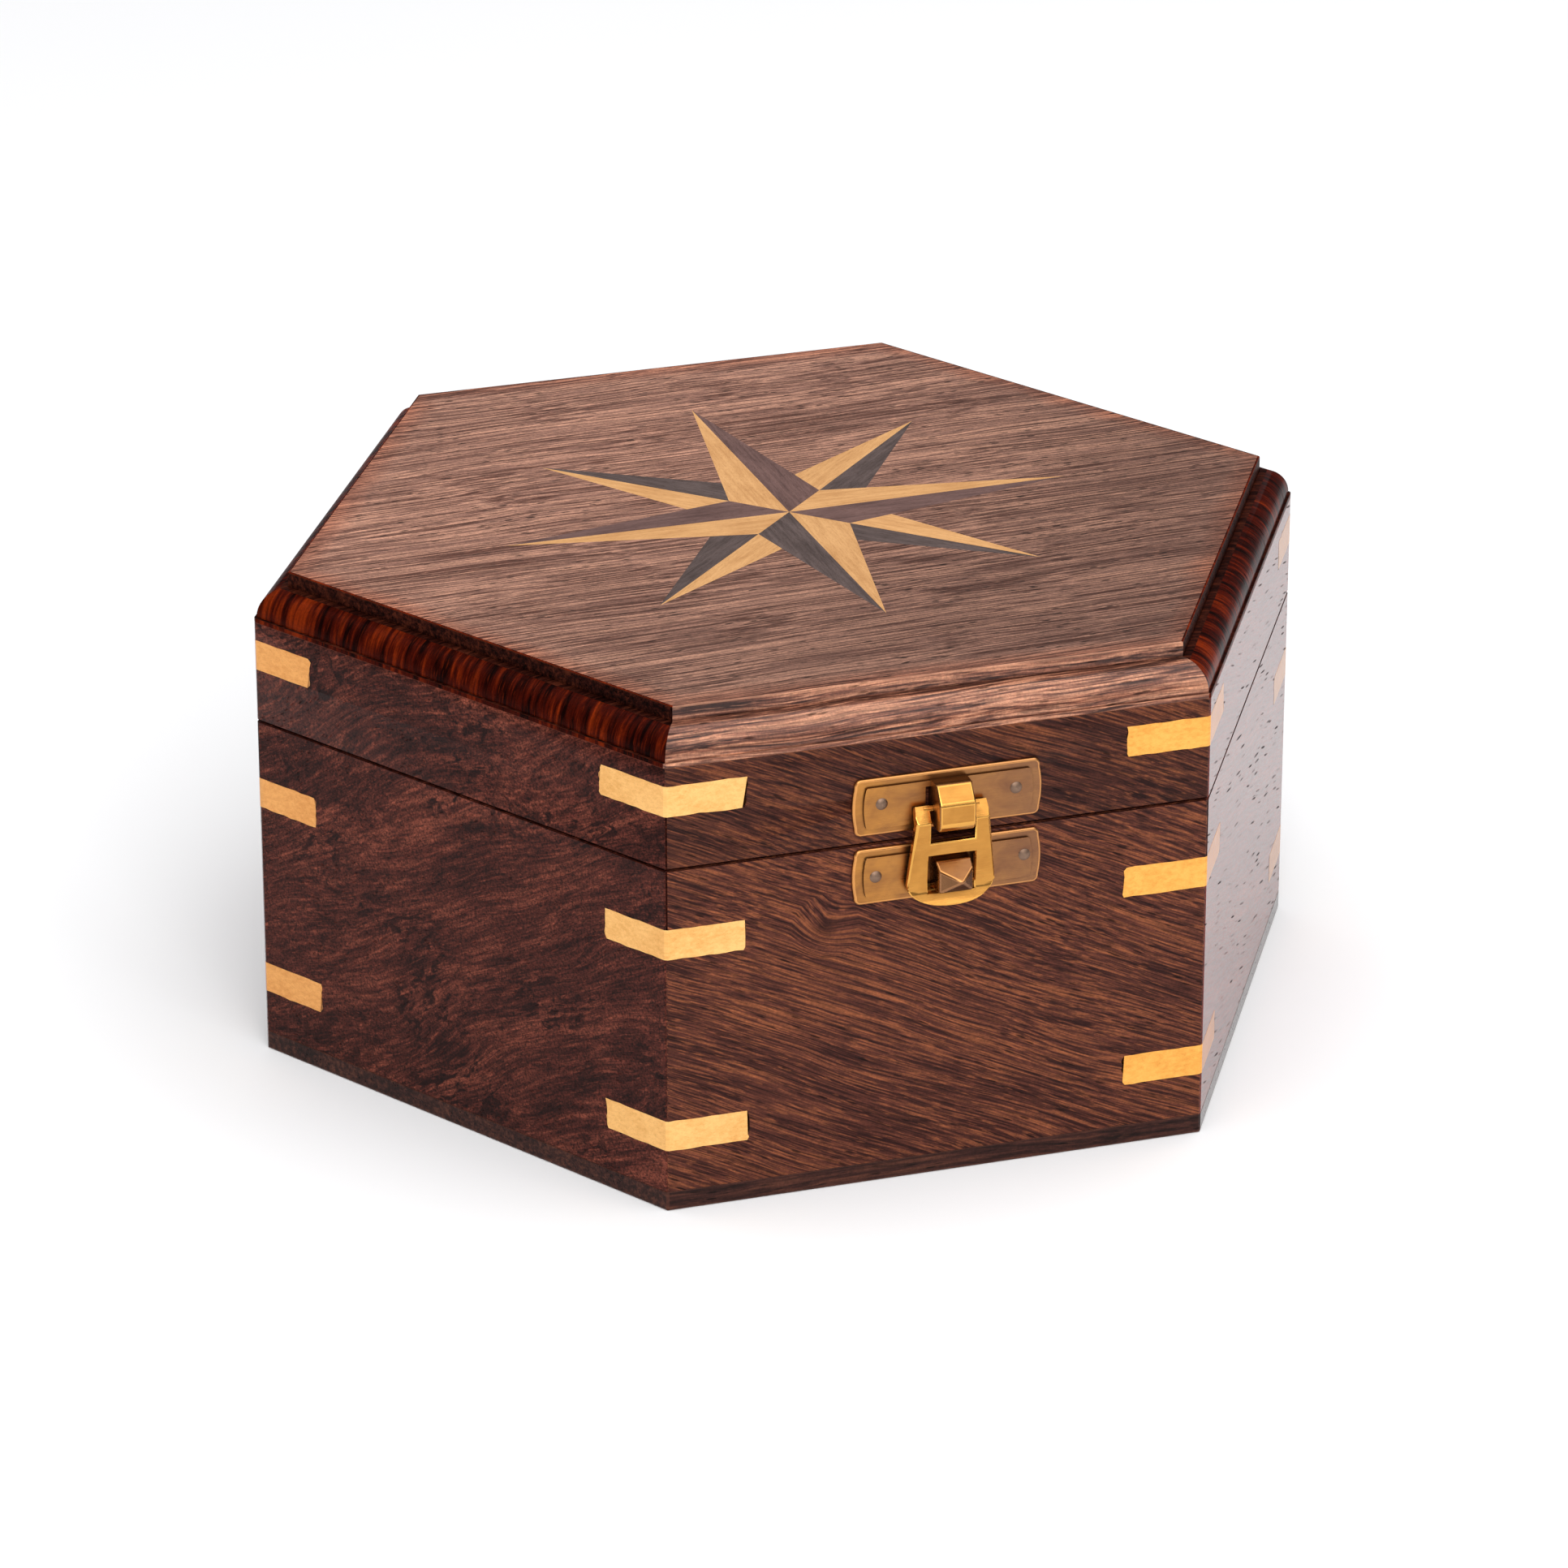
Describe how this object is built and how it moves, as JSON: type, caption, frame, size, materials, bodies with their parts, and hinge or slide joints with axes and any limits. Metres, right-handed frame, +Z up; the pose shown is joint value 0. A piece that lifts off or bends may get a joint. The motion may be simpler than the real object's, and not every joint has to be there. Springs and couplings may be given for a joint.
{
  "type": "hexagonal inlaid wooden box",
  "caption": "Hexagonal hardwood box with pale corner splines, a moulded hinged lid inlaid with a compass star, and a swinging brass hasp at the front.",
  "frame": {"origin": "centre of the underside, on the surface the box stands on", "axes": "+Z up, -Y out of the wall that carries the latch, X along that wall between the two opposite corners"},
  "size_m": [0.176, 0.1634, 0.0821],
  "materials": {
    "base_wood": "satin, dark brown hardwood",
    "case_wood": "satin lacquer over streaked red-brown hardwood",
    "lid_wood": "satin lacquer over streaked red-brown hardwood",
    "top_wood": "open-pored satin hardwood with a glossy moulded edge",
    "spline_wood": "satin, pale yellow hardwood",
    "star_light_wood": "satin, pale yellow hardwood",
    "star_dark_wood": "satin, dark grey-brown hardwood",
    "latch_brass": "satin antique brass",
    "hasp_brass": "satin brass",
    "catch_brass": "satin antique brass",
    "nail_metal": "dull antique brass",
    "hinge_brass": "satin antique brass",
    "pin_brass": "satin antique brass",
    "screw_brass": "satin antique brass"
  },
  "bodies": {
    "box": {"base_panel": "base_wood", "lower_wall_right_back": "case_wood", "lower_wall_back": "case_wood", "lower_wall_left_back": "case_wood", "lower_wall_left_front": "case_wood", "lower_wall_front": "case_wood", "lower_wall_right_front": "case_wood", "lower_splines_right": "spline_wood", "lower_splines_back_right": "spline_wood", "lower_splines_back_left": "spline_wood", "lower_splines_left": "spline_wood", "lower_splines_front_left": "spline_wood", "lower_splines_front_right": "spline_wood", "latch_lower_plate": "latch_brass", "latch_catch": "catch_brass", "latch_lower_nails": "nail_metal", "hinge_left_body_leaf": "hinge_brass", "hinge_left_pin": "pin_brass", "hinge_right_body_leaf": "hinge_brass", "hinge_right_pin": "pin_brass", "hinge_body_screws": "screw_brass"},
    "lid": {"lid_wall_right_back": "lid_wood", "lid_wall_back": "lid_wood", "lid_wall_left_back": "lid_wood", "lid_wall_left_front": "lid_wood", "lid_wall_front": "lid_wood", "lid_wall_right_front": "lid_wood", "lid_top_panel": "top_wood", "lid_spline_right": "spline_wood", "lid_spline_back_right": "spline_wood", "lid_spline_back_left": "spline_wood", "lid_spline_left": "spline_wood", "lid_spline_front_left": "spline_wood", "lid_spline_front_right": "spline_wood", "star_east_light": "star_light_wood", "star_east_dark": "star_dark_wood", "star_north_light": "star_light_wood", "star_north_dark": "star_dark_wood", "star_west_light": "star_light_wood", "star_west_dark": "star_dark_wood", "star_south_light": "star_light_wood", "star_south_dark": "star_dark_wood", "star_northeast_light": "star_light_wood", "star_northeast_dark": "star_dark_wood", "star_northwest_light": "star_light_wood", "star_northwest_dark": "star_dark_wood", "star_southwest_light": "star_light_wood", "star_southwest_dark": "star_dark_wood", "star_southeast_light": "star_light_wood", "star_southeast_dark": "star_dark_wood", "latch_upper_plate": "latch_brass", "latch_upper_nails": "nail_metal", "hinge_left_lid_leaf": "hinge_brass", "hinge_right_lid_leaf": "hinge_brass", "hinge_lid_screws": "screw_brass"},
    "hasp": {"hasp": "hasp_brass"}
  },
  "joints": [
    {"name": "lid_hinge", "type": "hinge", "parent": "box", "child": "lid", "pos_m": [0, 0.0783, 0.0575], "axis": [-1, 0, 0], "range_deg": [0, 100]},
    {"name": "hasp_hinge", "type": "hinge", "parent": "lid", "child": "hasp", "pos_m": [0.001, -0.0781, 0.0629], "axis": [-1, 0, 0], "range_deg": [0, 150]}
  ]
}
